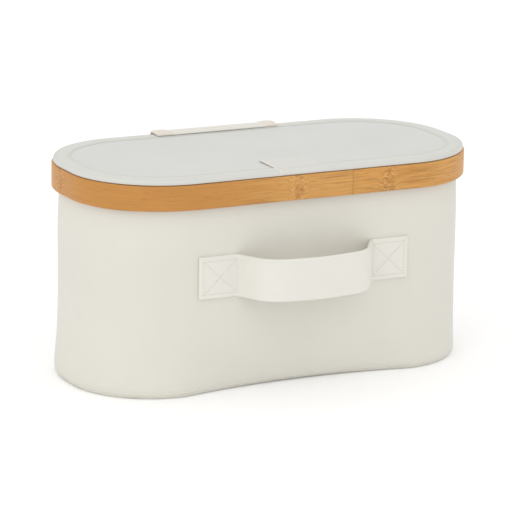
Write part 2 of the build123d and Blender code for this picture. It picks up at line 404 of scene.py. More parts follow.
# The binding cloth is the same coated fabric, darker than the walls but a little lighter than the lid's
# middle: painted shade on the top and painted light on the border.
binding_cloth_shade_and_light = woven("binding_fabric_shade_and_light", (0.630, 0.630, 0.590), 0.58)
lining = woven("lining_fabric", (0.66, 0.655, 0.62), 0.8, 0.35 * MM, 0.03 * MM, 0.05)

# %% [markdown]
# The sewing thread is a shade warmer than the cloth. Each stitch is a short twisted bead, and its
# twist is a fine wave along its length.

# %% Thread
thread_paint = Paint("thread")
lay = thread_paint.node("ShaderNodeTexWave", {"bands_direction": "DIAGONAL"},
                        {"Vector": thread_paint.object_place(), "Scale": 900.0})
twisted = thread_paint.mix(lay, (0.54, 0.51, 0.43), (0.68, 0.65, 0.57))
thread_paint.set(Base_Color=twisted, Roughness=0.55)
thread = thread_paint.material

# %% [markdown]
# ## Bamboo
# Bamboo is a bundle of straight fibres, so its grain is long, fine and almost perfectly parallel,
# with short dark dashes where a fibre bundle is cut. Every hand's length or so the cane has a knot,
# where the fibres swerve and darken. The band's UV runs along the strip and up its face, so the
# grain follows the bends, and the knots sit at named distances from the joint.

# %% Bamboo material
KNOTS = (0.036, 0.283, 0.528, 0.690, 0.937)    # metres along the strip, from its joint


def bamboo_material():
    paint = Paint("bamboo")
    u, v = paint.split(paint.place())
    ragged = paint.noise(paint.place(40.0, 420.0), 1.0, 3.0)
    knot, heart, chevron = 0.0, 0.0, 0.0
    for at in KNOTS:
        away = (u - at + 0.010 * (ragged - 0.5)).size()
        near = 1 - away.soft_step(0.005, 0.012)
        knot = knot + near
        heart = heart + (1 - away.soft_step(0.001, 0.005))
        chevron = chevron + near * away
    swerve = paint.noise(paint.place(240.0, 150.0), 1.0, 2.0) - 0.5
    bent = v + knot * swerve * 0.005 + chevron * 0.35

    def fibres(along, across, layer, detail=2.0, roughness=0.5):
        """Noise drawn out along the strip; each layer has its own pattern."""
        where = {0: u * along, 1: bent * across, 2: layer}
        return paint.noise(paint.node("ShaderNodeCombineXYZ", None, where), 1.0, detail, roughness)

    fine = fibres(24.0, 900.0, 0.0, 4.0, 0.6)
    wide = fibres(16.0, 330.0, 7.0, 3.0, 0.55)
    dashes = fibres(90.0, 1300.0, 3.0).soft_step(0.60, 0.72)
    strokes = fibres(210.0, 620.0, 5.0, 2.0, 0.6)
    patch = paint.noise(paint.place(9.0, 14.0), 1.0, 2.0)
    honey = paint.mix(fine.soft_step(0.34, 0.62), (0.365, 0.158, 0.030), (0.650, 0.335, 0.083))
    warm = paint.mix(wide.soft_step(0.38, 0.62) * 0.55, honey, (0.590, 0.268, 0.055))
    toned = paint.mix(patch.soft_step(0.35, 0.75) * 0.4, warm, (0.635, 0.335, 0.100))
    deeper = u.soft_step(0.58, 0.74) * (1 - u.soft_step(0.84, 0.95))
    aged = paint.mix(deeper * 0.75, toned, (0.47, 0.20, 0.034))
    marked = paint.mix(dashes * 0.6, aged, (0.32, 0.135, 0.028))
    light_strokes = knot * (1 - strokes.soft_step(0.36, 0.48)) * 0.6
    pale = paint.mix(light_strokes, marked, (0.70, 0.40, 0.14))
    smear = knot * strokes.soft_step(0.52, 0.64) * 0.55
    smear = smear + heart * strokes.soft_step(0.40, 0.58) * 0.35
    paint.set(Base_Color=paint.mix(smear, pale, (0.33, 0.125, 0.028)))
    paint.set(Roughness=0.42 + 0.15 * fine)
    paint.set(Coat_Weight=0.12, Coat_Roughness=0.3, Specular_IOR_Level=0.4)
    paint.bump(fine * 0.6 + wide * 0.4 - dashes * 0.4 - smear, 0.10 * MM)
    return paint.material


bamboo = bamboo_material()
print("bamboo with", len(KNOTS), "knots")

# %% [markdown]
# ## The tub's skin
# The skin is a sleeve pulled over the boards and turned over their top edge. Its outline is drawn at
# every height, then pushed out a little where the cloth is slack: between the boards' joints, above
# the foot seam and in long shallow waves. It is never pushed in, because the boards are behind it.
# Below the boards nothing holds it out, so the foot rolls in softly towards the base.

# %% Slack in the skin
CREASE_X, CREASE_LIFT = 107 * MM, 1.0 * MM  # where flat and bent boards meet, and the lift by it
WAVES, RIPPLES, GATHERS = 0.75 * MM, 0.32 * MM, 0.25 * MM     # heights of the cloth's bumps
FOOT_IN, FOOT_RISE = 4 * MM, 10 * MM        # how far in and how high the foot's roll goes
LEFT_BELLY = 1.6 * MM                       # the left end is fuller above the foot


def slack(points, z):
    """How far the skin stands off its boards at each point of one row."""
    places = at_height(points, z)
    waves = 0.5 + 0.5 * smooth_noise(places * (1, 1, 0.6), 0.15, 11)
    ripples = 0.5 + 0.5 * smooth_noise(places * (1, 1, 0.35), 0.034, 23)
    near_joint = bell(np.abs(points[:, 0]), CREASE_X, 13 * MM)
    free = 1 - bell(z, BAND_FOOT, 20 * MM)
    lift = WAVES * waves + RIPPLES * ripples + CREASE_LIFT * (0.35 - near_joint * waves)
    gathers = GATHERS * bell(z, 10 * MM, 10 * MM) * (1 + smooth_noise(places, 0.018, 5))
    return np.clip(lift, 0, None) * free + gathers


def foot_roll(z):
    """How far the foot's roll draws the cloth in at height z."""
    below = share_of(FOOT_RISE - z, FOOT_RISE)
    return FOOT_IN * (1 - math.sqrt(1 - below**2))


def full_plan(z, inset):
    """The tub's outline at height z with its fuller left end."""
    points = tub_plan(z, inset)
    belly = LEFT_BELLY * bell(z, 14 * MM, 20 * MM)
    points[:, 0] -= belly * np.clip(-points[:, 0] / HALF_LENGTH, 0, 1) ** 4
    return points


def tub_row(z, inset, loose=True):
    """One row of points of the tub wall, with the cloth's slack added."""
    points = full_plan(z, inset + foot_roll(z))
    if loose:
        points = points + outward(points) * slack(points, z)[:, None]
    return at_height(points, z)


# %% Tub skin
HEM_DEPTH = 14 * MM
INNER = LINING_IN + 0.7 * MM     # the turned hem's inner face, in from the fabric's outer face


def tub_skin():
    """Outer face, rolled top edge, hem inside the mouth, and back down behind."""
    top, foot = skin_hi.z, skin_lo.z + 0.3 * MM
    turn = top - 0.8 * MM            # where the rolled edge begins
    rows = [tub_row(z, 0) for z in np.linspace(foot, top - 1.0 * MM, 76)]
    for k in range(7):
        angle = math.radians(15 + 25 * k)
        inset = INNER / 2 * (1 - math.cos(angle))
        rows.append(tub_row(turn + 0.9 * MM * math.sin(angle), inset, False))
    hem = [(z, INNER) for z in np.linspace(top - 1.2 * MM, top - HEM_DEPTH, 8)]
    hem += [(top - HEM_DEPTH, INNER - 0.35 * MM), (turn, INNER - 0.35 * MM), (turn, SKIN)]
    back = [(z, SKIN) for z in np.linspace(top - 4 * MM, foot, 12)]
    rows += [tub_row(z, inset, False) for z, inset in hem + back]
    return sleeve_object("tub_skin", rows, SKIN)


skin_piece = finish_piece(tub_skin(), "tub", "coated_fabric", fabric, "outer_skin")

# %% [markdown]
# ## Discs with the tub's outline
# The base, the floor lining and the lid are flat pieces with a round edge. Their rows run from the
# middle line out to the edge, over it and back underneath. Near the edge the rows keep an even
# distance from it; further in they close up on a line along the middle, so no point is a bad pole.

# %% Disc helper
RIM_ZONE = 30 * MM      # how far in from the edge the rows stay even


def inner_rows(outline, height, count):
    """Rows from the middle line out to the even ones; height(inset, place) gives z."""
    points = outline(RIM_ZONE)
    reach = HALF_LENGTH - HALF_DEPTH
    spine = np.c_[np.clip(points[:, 0], -reach, reach), 0 * points[:, 1]]
    gap = np.linalg.norm(points - spine, axis=1)
    rows = []
    for share in np.linspace(0, 1, count, endpoint=False):
        place = spine + (points - spine) * share
        rows.append(at_height(place, height(RIM_ZONE + gap.mean() * (1 - share), place)))
    return rows


def disc_object(name, outline, top, edge, bottom, ring_insets, count=10, edge_plan=None):
    """Closed disc: top and bottom are height functions, edge a list of (inset, z) between them.

    ring_insets, in millimetres, are the rows near the edge.
    """
    def face(height):
        rings = [x * MM for x in ring_insets]
        outer = [at_height(outline(x), height(x, outline(x))) for x in rings]
        return inner_rows(outline, height, count) + outer

    rows = face(top)
    for inset, z in edge:
        rows.append(at_height(edge_plan(z, inset) if edge_plan else outline(inset), z))
    rows += face(bottom)[::-1]
    obj = grid_object(name, np.array(rows)[::-1], AROUND, np.linspace(0, 1, len(rows)))
    flat_uv(obj)
    return tidy_mesh(obj, 2e-6)


def flat(z):
    """Height function of a level face."""
    return lambda inset, place: z


def flat_uv(obj):
    """Lays the cloth's UV flat, seen from above, in metres."""
    mesh = obj.data
    at = np.zeros(len(mesh.loops), np.int32)
    mesh.loops.foreach_get("vertex_index", at)
    co = np.array([vertex.co for vertex in mesh.vertices])
    mesh.uv_layers["cloth"].data.foreach_set("uv", co[at, :2].astype(np.float32).ravel())


# %% Base cover, lining and floor
base_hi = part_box("base_cover")[1]
floor_lo, floor_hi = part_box("floor_lining")
COVER = 0.9 * MM                 # how far the base cover stands outside the skin
HEM_FOOT = 3.4 * MM              # below this height the cover is one ply
HOLLOW = 0.75 * MM               # the base lifts off the table by this along its drawn-in sides
HOLLOW_SPAN = 135 * MM           # half the length of that
HOLLOW_FROM, HOLLOW_WIDE = 20 * MM, 40 * MM     # where the lift starts and its ramp, across


def lift_sides(obj):
    """Lifts the lowest cloth a little along the drawn-in sides, so that a thin shadow shows there."""
    for vertex in obj.data.vertices:
        co = vertex.co
        along = max(0.0, 1 - (co.x / HOLLOW_SPAN) ** 2)
        outside = share_of(abs(co.y) - HOLLOW_FROM, HOLLOW_WIDE)
        low = max(0.0, 1 - co.z / COVER)
        co.z += HOLLOW * along**2 * outside**2 * (3 - 2 * outside) * low
    return obj


def base_cover():
    """Flat underside, rolled edge, and the turned-up hem whose edge is the foot seam."""
    edge = [(foot_roll(z * MM) - 0.05 * MM, z * MM) for z in (0.9, 1.4, 2.2, 3.2, 4.2)]
    seam = foot_roll(base_hi.z)
    for x, z in ((-0.05, 0.0), (-0.5, 0.35), (-1.0, 0.1), (-1.25, -0.6)):
        edge.append((seam + x * MM, base_hi.z + z * MM))
    for angle in np.linspace(math.asin(1 - HEM_FOOT / FOOT_RISE), math.pi / 2, 9):
        inset = FOOT_IN * (1 - math.cos(angle)) - COVER
        edge.append((inset, FOOT_RISE * (1 - math.sin(angle))))
    rings = (26, 22, 18, 14, 10, 7, 5)
    disc = disc_object("base_cover_cloth", lambda inset: tub_plan(0.0, inset), flat(0.8 * MM), edge,
                       flat(0.0), rings, edge_plan=full_plan)
    return lift_sides(disc)


def floor_cloth():
    """Smooth lining on the base, a little slack, with a turned edge."""
    def outline(inset):
        return tub_plan(floor_lo.z, 3.4 * MM + inset)

    def top(inset, place):
        bumps = 1 + smooth_noise(at_height(place, 0), 0.06, 31)
        return floor_hi.z + 0.25 * MM * bumps * share_of(inset, 10 * MM)

    edge = [(0.0, floor_hi.z - 0.1 * MM), (0.0, floor_lo.z + 0.1 * MM)]
    return disc_object("floor_cloth", outline, top, edge, flat(floor_lo.z), (24, 18, 12, 7, 3, 1))


def lining_sleeve():
    """Inner sleeve of smooth cloth, softly slack between the boards."""
    thick = 0.5 * MM
    foot, top = floor_hi.z + 0.4 * MM, skin_hi.z - 1.3 * MM

    def row(z, inset, loose):
        points = tub_plan(z, inset)
        if loose:
            places = at_height(points, z)
            fade = min(1, (top - HEM_DEPTH - z) / 0.03, (z - foot) / 0.01 + 0.2)
            soft = 0.50 * MM * (1 + smooth_noise(places, 0.11, 41))
            soft += 0.12 * MM * (1 + smooth_noise(places, 0.03, 43))
            points = points - outward(points) * (soft * max(fade, 0))[:, None]
        return at_height(points, z)

    outer = [row(z, LINING_IN, False) for z in np.linspace(foot, top, 10)]
    inner = [row(z, LINING_IN + thick, True) for z in np.linspace(top, foot, 48)]
    return sleeve_object("lining_sleeve", outer + inner, thick)


base_piece = finish_piece(base_cover(), "tub", "coated_fabric", fabric, "base_cover")
finish_piece(floor_cloth(), "tub", "lining_fabric", lining, "floor_lining")
sleeve = finish_piece(lining_sleeve(), "tub", "lining_fabric", lining, "wall_lining")

# %% [markdown]
# ## The bamboo band
# The band is one strip swept round the outline, starting and ending at its slanted joint. Its long
# edges are sanded round. A real strip is never quite even, so the section swells a little at the
# knots and its lower edge wanders by a fraction of a millimetre.

# %% Band
JOINT_X = 43 * MM                             # where the strip's ends meet, on the front
JOINT_GAP = 0.02 * MM
JOINT_SLANT = math.tan(math.radians(35))      # the joint runs through the wall at this slant
EDGE_ROUND = 1.2 * MM
KNOT_SWELL, UNEVEN, WANDER = 0.22 * MM, 0.10 * MM, 0.22 * MM


def band_section():
    """Closed section as (inset, z): round corners joined by straight faces."""
    section = []
    for inset, z, start in (
        (EDGE_ROUND, BAND_FOOT + EDGE_ROUND, 270),
        (EDGE_ROUND, BAND_TOP - EDGE_ROUND, 180),
        (BAND_WALL - EDGE_ROUND, BAND_TOP - EDGE_ROUND, 90),
        (BAND_WALL - EDGE_ROUND, BAND_FOOT + EDGE_ROUND, 0),
    ):
        for k in range(6):
            angle = math.radians(start - 90 * k / 5)
            section.append((inset + EDGE_ROUND * math.cos(angle), z + EDGE_ROUND * math.sin(angle)))
    return section


def strip_points(inset):
    """The outline from the joint all the way round to it again, at one inset."""
    ring = rim_plan(inset)
    front = SEGMENT == 7
    joint = JOINT_X + inset * JOINT_SLANT
    on_front = ring[front]
    after = on_front[on_front[:, 0] > joint + 2 * MM]
    before = on_front[on_front[:, 0] < joint - 2 * MM]
    y = -HALF_DEPTH + inset
    start, end = [(joint + JOINT_GAP / 2, y)], [(joint - JOINT_GAP / 2, y)]
    return np.vstack([start, after, ring[~front], before, end])


def bamboo_strip():
    outer = strip_points(0.0)
    run = distance_along(outer)
    rows = []
    swell = sum(bell(run, at, 6 * MM) for at in KNOTS)
    for inset, z in band_section():
        points = strip_points(inset)
        while len(points) < len(outer):
            points = np.vstack([points[:1], points])
        points = points[: len(outer)]
        side = np.clip(1 - 2 * inset / BAND_WALL, 0, 1)
        low = np.clip((BAND_TOP - z) / (BAND_TOP - BAND_FOOT), 0, 1)
        way = np.gradient(points, axis=0)
        length = np.maximum(np.linalg.norm(way, axis=1), 1e-9)
        out = np.c_[way[:, 1], -way[:, 0]] / length[:, None]
        places = at_height(points, z)
        lift = side * (KNOT_SWELL * swell + UNEVEN * (smooth_noise(places, 0.07, 61) - 1))
        rise = low * WANDER * smooth_noise(places * (1, 1, 0), 0.09, 67)
        rows.append(at_height(points + out * lift[:, None], z + rise))
    v = distance_along(band_section())
    v = np.append(v, v[-1] + EDGE_ROUND)
    obj = grid_object("bamboo_strip", np.array(rows), run, v, close_rows=True, close_columns=False)
    close_ends(obj)
    return tidy_mesh(obj, 1e-7)


def close_ends(obj):
    """Fills every open edge loop with one flat face."""
    bm = bmesh.new()
    bm.from_mesh(obj.data)
    bmesh.ops.holes_fill(bm, edges=[e for e in bm.edges if e.is_boundary], sides=0)
    bm.to_mesh(obj.data)
    bm.free()


finish_piece(bamboo_strip(), "tub", "bamboo", bamboo, "bamboo_band")

# %% [markdown]
# ## Straps
# The handle, the hinge and the pull tab are folded and sewn strips of the same cloth. One function
# makes them all: it follows a path with a side direction, and gives the strip a soft section whose
# long edges are rolled a little thicker, because the cloth is turned in there.

# %% Strap helper
END_STEPS = np.array([0.1, 0.25, 0.5, 0.8]) * MM      # extra rows close to both ends


def rounded_path(corners, step=1.2 * MM):
    """Points along straight runs whose corners, given as (point, radius), are rounded."""
    points = [np.array(corners[0][0], float)]
    for k in range(1, len(corners) - 1):
        here, radius = np.array(corners[k][0], float), corners[k][1]
        before = np.array(corners[k - 1][0], float) - here
        after = np.array(corners[k + 1][0], float) - here
        before, after = before / np.linalg.norm(before), after / np.linalg.norm(after)
        half = math.acos(np.clip(before @ after, -1, 1)) / 2
        inwards = (before + after) / np.linalg.norm(before + after)
        centre = here + inwards * radius / math.sin(half)
        sideways = (after - before) / np.linalg.norm(after - before)
        for turn in np.linspace(half - math.pi / 2, math.pi / 2 - half, 15):
            points.append(centre + radius * (math.sin(turn) * sideways - math.cos(turn) * inwards))
    points.append(np.array(corners[-1][0], float))
    points = np.array(points)
    run = distance_along(points)
    even = np.linspace(0, run[-1], max(8, int(run[-1] / step)))
    even = np.unique(np.concatenate([even, even[0] + END_STEPS, even[-1] - END_STEPS]))
    return np.c_[[np.interp(even, run, points[:, k]) for k in range(3)]].T, even


def across_steps(width, edge):
    """Distances from the strip's middle line, close together near its edges."""
    near = edge * (1 - np.cos(np.linspace(0, math.pi / 2, 6)))
    inner = np.linspace(edge * 1.6, width - edge * 1.6, max(12, int(width / (1.8 * MM))))
    return np.concatenate([near, inner, width - near[::-1]]) - width / 2


def round_end(distance, edge):
    """Share of the full thickness at a distance from an edge that is rounded over."""
    return np.sqrt(np.clip(1 - (1 - np.clip(distance / edge, 0, 1)) ** 2, 0, 1))


def strap(name, path, run, side, width, thick, bead, bead_in, wobble, end_bead, back=1.0):
    """Closed soft strip along a path whose points lie at the distances in run.

    bead is how much thicker the rolled edges are, bead_in how wide they are, and back the share
    of that on the underside. end_bead does the same for the two ends.
    """
    side = np.array(side, float)
    along = np.gradient(path, axis=0)
    along /= np.linalg.norm(along, axis=1)[:, None]
    normal = np.cross(along, side)
    edge = thick / 2
    across = across_steps(width, edge)
    from_edge = width / 2 - np.abs(across)
    section = round_end(from_edge, edge)
    off_bead = np.abs(from_edge - bead_in * 0.5) / (bead_in * 0.5)
    rolled = bead * np.clip(1.15 - off_bead, 0, 1) ** 0.35
    from_end = np.minimum(run, run[-1] - run)
    close = round_end(from_end, edge)
    swell = 1 + end_bead * bell(from_end, bead_in * 0.55, bead_in * 0.5)
    rows = []
    for k, point in enumerate(path):
        places = point + np.outer(across, side)
        drift = wobble * smooth_noise(places, 0.035, 71)
        half = edge * close[k] * section * swell[k]
        front = places + np.outer(half * (1 + rolled) + drift, normal[k])
        rear = places - np.outer(half * (1 + back * rolled) - drift, normal[k])
        rows.append(np.vstack([front, rear[::-1]]))
    rows = np.array(rows)
    u = np.concatenate([across, across[::-1]]) + width / 2
    obj = grid_object(name, rows[:, ::-1], np.append(u[::-1], u[-1]), run)
    swap_uv(obj)
    return tidy_mesh(obj, 5e-6)


def swap_uv(obj):
    """Turns the cloth's UV a quarter, so that its u runs along the strip."""
    layer = obj.data.uv_layers["cloth"].data
    places = np.zeros(2 * len(layer), np.float32)
    layer.foreach_get("uv", places)
    layer.foreach_set("uv", places.reshape(-1, 2)[:, ::-1].ravel().copy())


def tint_hems(obj, material, width):
    """Second material on the turned-in hems at both ends of the piece along x."""
    xs = [vertex.co.x for vertex in obj.data.vertices]
    low, high = min(xs) + width, max(xs) - width
    obj.data.materials.append(material)
    for face in obj.data.polygons:
        face.material_index = int(not low < face.center.x < high)


# %% Handle
HANDLE_X = (102.5, 65.5, 50.0, 43.5)          # in mm: square's end and inner edge, two shoulders
HANDLE_STAND = 34 * MM
HANDLE_THICK = 2.8 * MM
HANDLE_BOW = 4 * MM
ROLLED_OUT = 0.6 * MM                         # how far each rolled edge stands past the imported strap
handle_z = (strap_lo.z + strap_hi.z) / 2 - 0.5 * MM
handle_tall = strap_hi.z - strap_lo.z + 2 * ROLLED_OUT
strap_y = strap_hi.y - HANDLE_THICK / 2
grip_y = strap_y - HANDLE_STAND
tip, inner, left_shoulder, right_shoulder = (x * MM for x in HANDLE_X)
HANDLE_LINE = [
    ((-tip, strap_y, handle_z), 0), ((-inner, strap_y, handle_z), 7 * MM),
    ((-left_shoulder, grip_y, handle_z), 28 * MM), ((right_shoulder, grip_y, handle_z), 28 * MM),
    ((inner, strap_y, handle_z), 7 * MM), ((tip, strap_y, handle_z), 0),
]
handle_path, handle_run = rounded_path(HANDLE_LINE)
bow = np.clip(np.abs(handle_path[:, 0] + 3 * MM) / right_shoulder, 0, 1)
handle_path[:, 1] -= HANDLE_BOW * (0.5 + 0.5 * np.cos(math.pi * bow))
handle = strap("handle_strap", handle_path, handle_run, (0, 0, 1), handle_tall, HANDLE_THICK,
               bead=0.22, bead_in=2.2 * MM, wobble=0.12 * MM, end_bead=0.15)
finish_piece(handle, "tub", "coated_fabric", strap_cloth_painted_light, "handle_cover", "handle_core")

# %% [markdown]
# The hinge strap is one strip of cloth. Its foot is sewn to the tub's back wall, it steps out over
# the band, bends over the lid's rear edge and is sewn down on the lid. It belongs to both bodies and
# is attached to neither here; on the real bin the bend near the pivot is what moves when the lid opens.

# %% Hinge strap
HINGE_THICK = 1.3 * MM
HINGE_TRIM = 1.2 * MM                         # the soft strap is this much narrower on its left side
hinge_x = (leaf_lo.x + leaf_hi.x) / 2 + HINGE_TRIM
hinge_wide = leaf_hi.x - leaf_lo.x - 2 * HINGE_TRIM
leaf_z = LID_TOP + 0.55 * MM + HINGE_THICK / 2
foot_y = tail_lo.y + 0.75 * MM
back_y = tail_hi.y - 0.5 * MM
HINGE_LINE = [
    ((hinge_x, foot_y, tail_lo.z), 0), ((hinge_x, foot_y, 158 * MM), 4 * MM),
    ((hinge_x, back_y, 167 * MM), 4 * MM), ((hinge_x, back_y, leaf_z + 0.6 * MM), 3.2 * MM),
    ((hinge_x, 85 * MM, leaf_z + 0.3 * MM), 8 * MM), ((hinge_x, leaf_lo.y, leaf_z - 0.2 * MM), 0),
]
hinge_path, hinge_run = rounded_path(HINGE_LINE, 0.9 * MM)
hinge = strap("hinge_strap", hinge_path, hinge_run, (1, 0, 0), hinge_wide, HINGE_THICK,
              bead=1.35, bead_in=14 * MM, wobble=0.10 * MM, end_bead=0.3, back=0.0)
finish_piece(hinge, None, "coated_fabric", strap_cloth_painted_light, "hinge_lid_leaf", "hinge_tail")
tint_hems(hinge, hem_cloth, 14 * MM)
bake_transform(hinge)

# %% [markdown]
# The pull tab is sewn down along the lid's front edge and its other end is free. On the real bin its
# root rides on the lid and its flap turns about the fold; here, like the hinge strap, it is attached to
# no body.

# %% Pull tab
TAB_THICK = 1.1 * MM
tab_x = (flap_lo.x + flap_hi.x) / 2
tab_wide = flap_hi.x - flap_lo.x
tab_z = LID_TOP + 0.35 * MM + TAB_THICK / 2
root_z = LID_TOP - 0.1 * MM                   # the sewn root is pressed into the lid's border
TAB_LINE = [
    ((tab_x, -90.7 * MM, tab_lo.z + 0.6 * MM), 0), ((tab_x, -90.7 * MM, root_z - 0.9 * MM), 1.2 * MM),
    ((tab_x, -88.0 * MM, root_z), 4 * MM), ((tab_x, -80.5 * MM, root_z), 5 * MM),
    ((tab_x, -76.0 * MM, tab_z - 0.45 * MM), 6 * MM), ((tab_x, -64.0 * MM, tab_z - 0.15 * MM), 12 * MM),
    ((tab_x, flap_hi.y, tab_z + 0.25 * MM), 0),
]
tab_path, tab_run = rounded_path(TAB_LINE, 0.7 * MM)
tab = strap("pull_tab", tab_path, tab_run, (1, 0, 0), tab_wide, TAB_THICK,
            bead=0.5, bead_in=2.6 * MM, wobble=0.08 * MM, end_bead=0.35)
finish_piece(tab, None, "coated_fabric", tab_cloth_painted_shade, "pull_tab_base", "pull_tab_flap")
tint_hems(tab, hem_cloth, 1.6 * MM)
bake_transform(tab)

# %% [markdown]
# ## The padded lid
# A thin board and a sheet of foam sit under a tight top cloth. A strip of cloth, the binding, is
# folded round the edge and sewn through, so its inner edge presses a line into the padding and the
# middle stands a little higher than the border.

# %% Lid sizes
LID_INSET = 1.5 * MM
BORDER = 15 * MM
BINDING = 0.6 * MM
EDGE_ROLL = 1.7 * MM
CROWN = 0.9 * MM                 # the padded middle above its border
SEWN_IN = 0.35 * MM              # how deep the sewn line is pressed in
LIP_IN = 0.5 * MM                # depth of the line that sets off the rounded edge
PAD_FOOT = LID_FOOT + 0.45 * MM
PAD_TOP = LID_TOP - 0.5 * MM


def lid_outline(inset):
    return rim_plan(LID_INSET + inset)


def pad_outline(inset):
    return lid_outline(inset + BINDING)


# %% [markdown]
# The shape of the padded middle comes from a cloth simulation. A coarse sheet is pinned along the
# sewn line and the foam's push is an upward load. Only its shape is kept, as a share from 0 to 1,
# and the pad's height is set by a named size, because the real cloth is tight over a thin foam.

# %% Cloth simulation of the top
FOAM_PUSH, SETTLE_STEPS = 4.0, 25     # upward acceleration in m/s2, and frames of simulation


def simulated_rise():
    """Places on the sheet and how high the cloth settles there, from 0 to 1."""
    rows = inner_rows(lid_outline, lambda inset, place: 0.0, 8)
    for inset in (0.026, 0.0225, 0.0195, 0.017, BORDER):
        rows.append(at_height(lid_outline(inset), 0))
    points = np.array(rows)[:, ::4]
    count = points.shape[0] * points.shape[1]
    sheet = grid_object("pad_sheet", points, np.zeros(points.shape[1] + 1), np.zeros(len(points)))
    last_row = list(range(count - points.shape[1], count))
    sheet.vertex_groups.new(name="sewn").add(last_row, 1.0, "REPLACE")
    tidy_mesh(sheet, 1e-5)
    cloth = sheet.modifiers.new("cloth", "CLOTH")
    cloth.settings.quality, cloth.settings.mass = 6, 0.1
    cloth.settings.tension_stiffness = cloth.settings.compression_stiffness = 15.0
    cloth.settings.bending_stiffness, cloth.settings.shrink_min = 0.5, -0.004
    cloth.settings.vertex_group_mass = "sewn"
    cloth.collision_settings.use_collision = False
    scene = bpy.context.scene
    usual = scene.gravity.copy()
    scene.gravity = (0.0, 0.0, FOAM_PUSH)
    for step in range(1, SETTLE_STEPS + 1):
        scene.frame_set(step)
    settled = sheet.evaluated_get(bpy.context.evaluated_depsgraph_get()).to_mesh()
    places = np.array([vertex.co for vertex in settled.vertices])
    scene.frame_set(1)
    scene.gravity = usual
    bpy.data.objects.remove(sheet)
    crown = 1000 * places[:, 2].max()
    print(f"simulated sheet of {len(places)} points, crown {crown:.1f} mm before scaling")
    return places[:, :2], places[:, 2] / places[:, 2].max()


RISE = simulated_rise()


def rise_at(place, inset):
    """Share of the crown at each point, blended from the nearest simulated points."""
    if RISE is None:
        return share_of(inset - BORDER, 18 * MM) ** 0.6
    away = ((place[:, None, :] - RISE[0][None, :, :]) ** 2).sum(axis=2)
    near = 1 / (away + (2.5 * MM) ** 2) ** 2
    return (near @ RISE[1]) / near.sum(axis=1) * share_of(inset - BORDER, 2 * MM)


# %% Lid pad and its heights
def lid_top(inset, place):
    """Height of the pad: rounded edge, border sewn down, and a padded middle."""
    places = at_height(place, 0)
    roll = EDGE_ROLL * (1 - round_end(inset, EDGE_ROLL))
    sewn = SEWN_IN * bell(inset, BORDER, 1.6 * MM)
    crown = CROWN * rise_at(place, inset)
    border = 0.25 * MM * math.sin(math.pi * share_of(inset, BORDER))
    border -= LIP_IN * bell(inset, 2.2 * MM, 0.5 * MM)
    soft = 0.16 * MM * smooth_noise(places, 0.09, 83) + 0.05 * MM * smooth_noise(places, 0.025, 89)
    return PAD_TOP - roll - sewn + crown + border + soft * share_of(inset, 6 * MM)


def lid_side(foot, top, radius):
    """Rows of the lid's edge below its top roll, as (inset, z), ending in a tight lower roll."""
    rows = [(0.0, top)]
    for k in range(7):
        angle = math.radians(15 * k)
        rows.append((radius * (1 - math.cos(angle)), foot + radius * (1 - math.sin(angle))))
    return rows


pad_edge = lid_side(PAD_FOOT, PAD_TOP - EDGE_ROLL - 0.2 * MM, 0.5 * MM)
pad_rings = (29, 27, 25, 23, 21, 19.5, 18, 17, 16.2, 15.6, 15, 14.4, 13.6, 12.7, 11.8, 10.8, 9.5,
             8, 6.5, 5, 3.8, 2.8, 2.4, 2.0, 1.6, 1.2, 0.8, 0.45, 0.2, 0.05)
lid_pad = disc_object("lid_pad", pad_outline, lid_top, pad_edge, flat(PAD_FOOT), pad_rings, 14)
finish_piece(lid_pad, "lid", "coated_fabric", lid_cloth_painted_shade, "lid_top_skin", "lid_foam")


# %% Lid binding
def lid_binding():
    """Strip folded round the edge: over the border, down the side and in below."""
    over = (15.0, 14.9, 14.5, 13.9, 13.2, 12, 10, 8, 6, 4.5, 3.7, 3.2, 2.8, 2.5, 2.25, 2.0, 1.75,
            1.5, 1.2, 0.9, 0.6, 0.35, 0.15, 0.03)                   # insets in mm
    thick = [0.0, 0.40, 0.56, 0.56, 0.48] + [0.36] * 19
    below = ((3, 0.02), (6, 0.02), (9, 0.02), (9.6, 0.12), (9.8, 0.30), (9.8, 0.55), (6, 0.6), (2, 0.7))
    inside = ((1.0, 1.0), (1.0, 2.0), (2.2, 2.6), (5, 3.0), (10, 3.2), (14, 3.2))
    rows = []
    for inset, stand in zip(over, thick):
        place = lid_outline(inset * MM)
        z = lid_top(max(0, inset * MM - 0.1 * MM), place) + stand * MM + 0.05 * MM
        rows.append(at_height(place, z))
    for inset, z in lid_side(LID_FOOT + 0.02 * MM, LID_TOP - EDGE_ROLL - 0.6 * MM, 0.7 * MM):
        rows.append(at_height(lid_outline(inset), z))
    for inset, z in below + inside:
        rows.append(at_height(lid_outline(inset * MM), LID_FOOT + z * MM))
    return sleeve_object("lid_binding_strip", rows[::-1], MM)


binding = finish_piece(lid_binding(), "lid", "coated_fabric", binding_cloth_shade_and_light, "lid_binding")


# %% Lid lining
def lid_lining():
    """Smooth cloth on the lid's underside, turned in at its edge."""
    def outline(inset):
        return rim_plan(10 * MM + inset)

    def under(inset, place):
        bumps = 1 + smooth_noise(at_height(place, 0), 0.07, 97)
        return LID_FOOT + 0.1 * MM * bumps * share_of(inset, 6 * MM)

    edge = [(0.0, PAD_FOOT + 0.2 * MM), (0.0, LID_FOOT + 0.2 * MM)]
    edge.append((0.15 * MM, LID_FOOT + 0.05 * MM))
    rings = (24, 18, 13, 9, 6, 4, 2.5, 1)
    return disc_object("lid_underlining", outline, flat(PAD_FOOT + 0.3 * MM), edge, under, rings)


underside = finish_piece(lid_lining(), "lid", "lining_fabric", lining, "lid_lining")

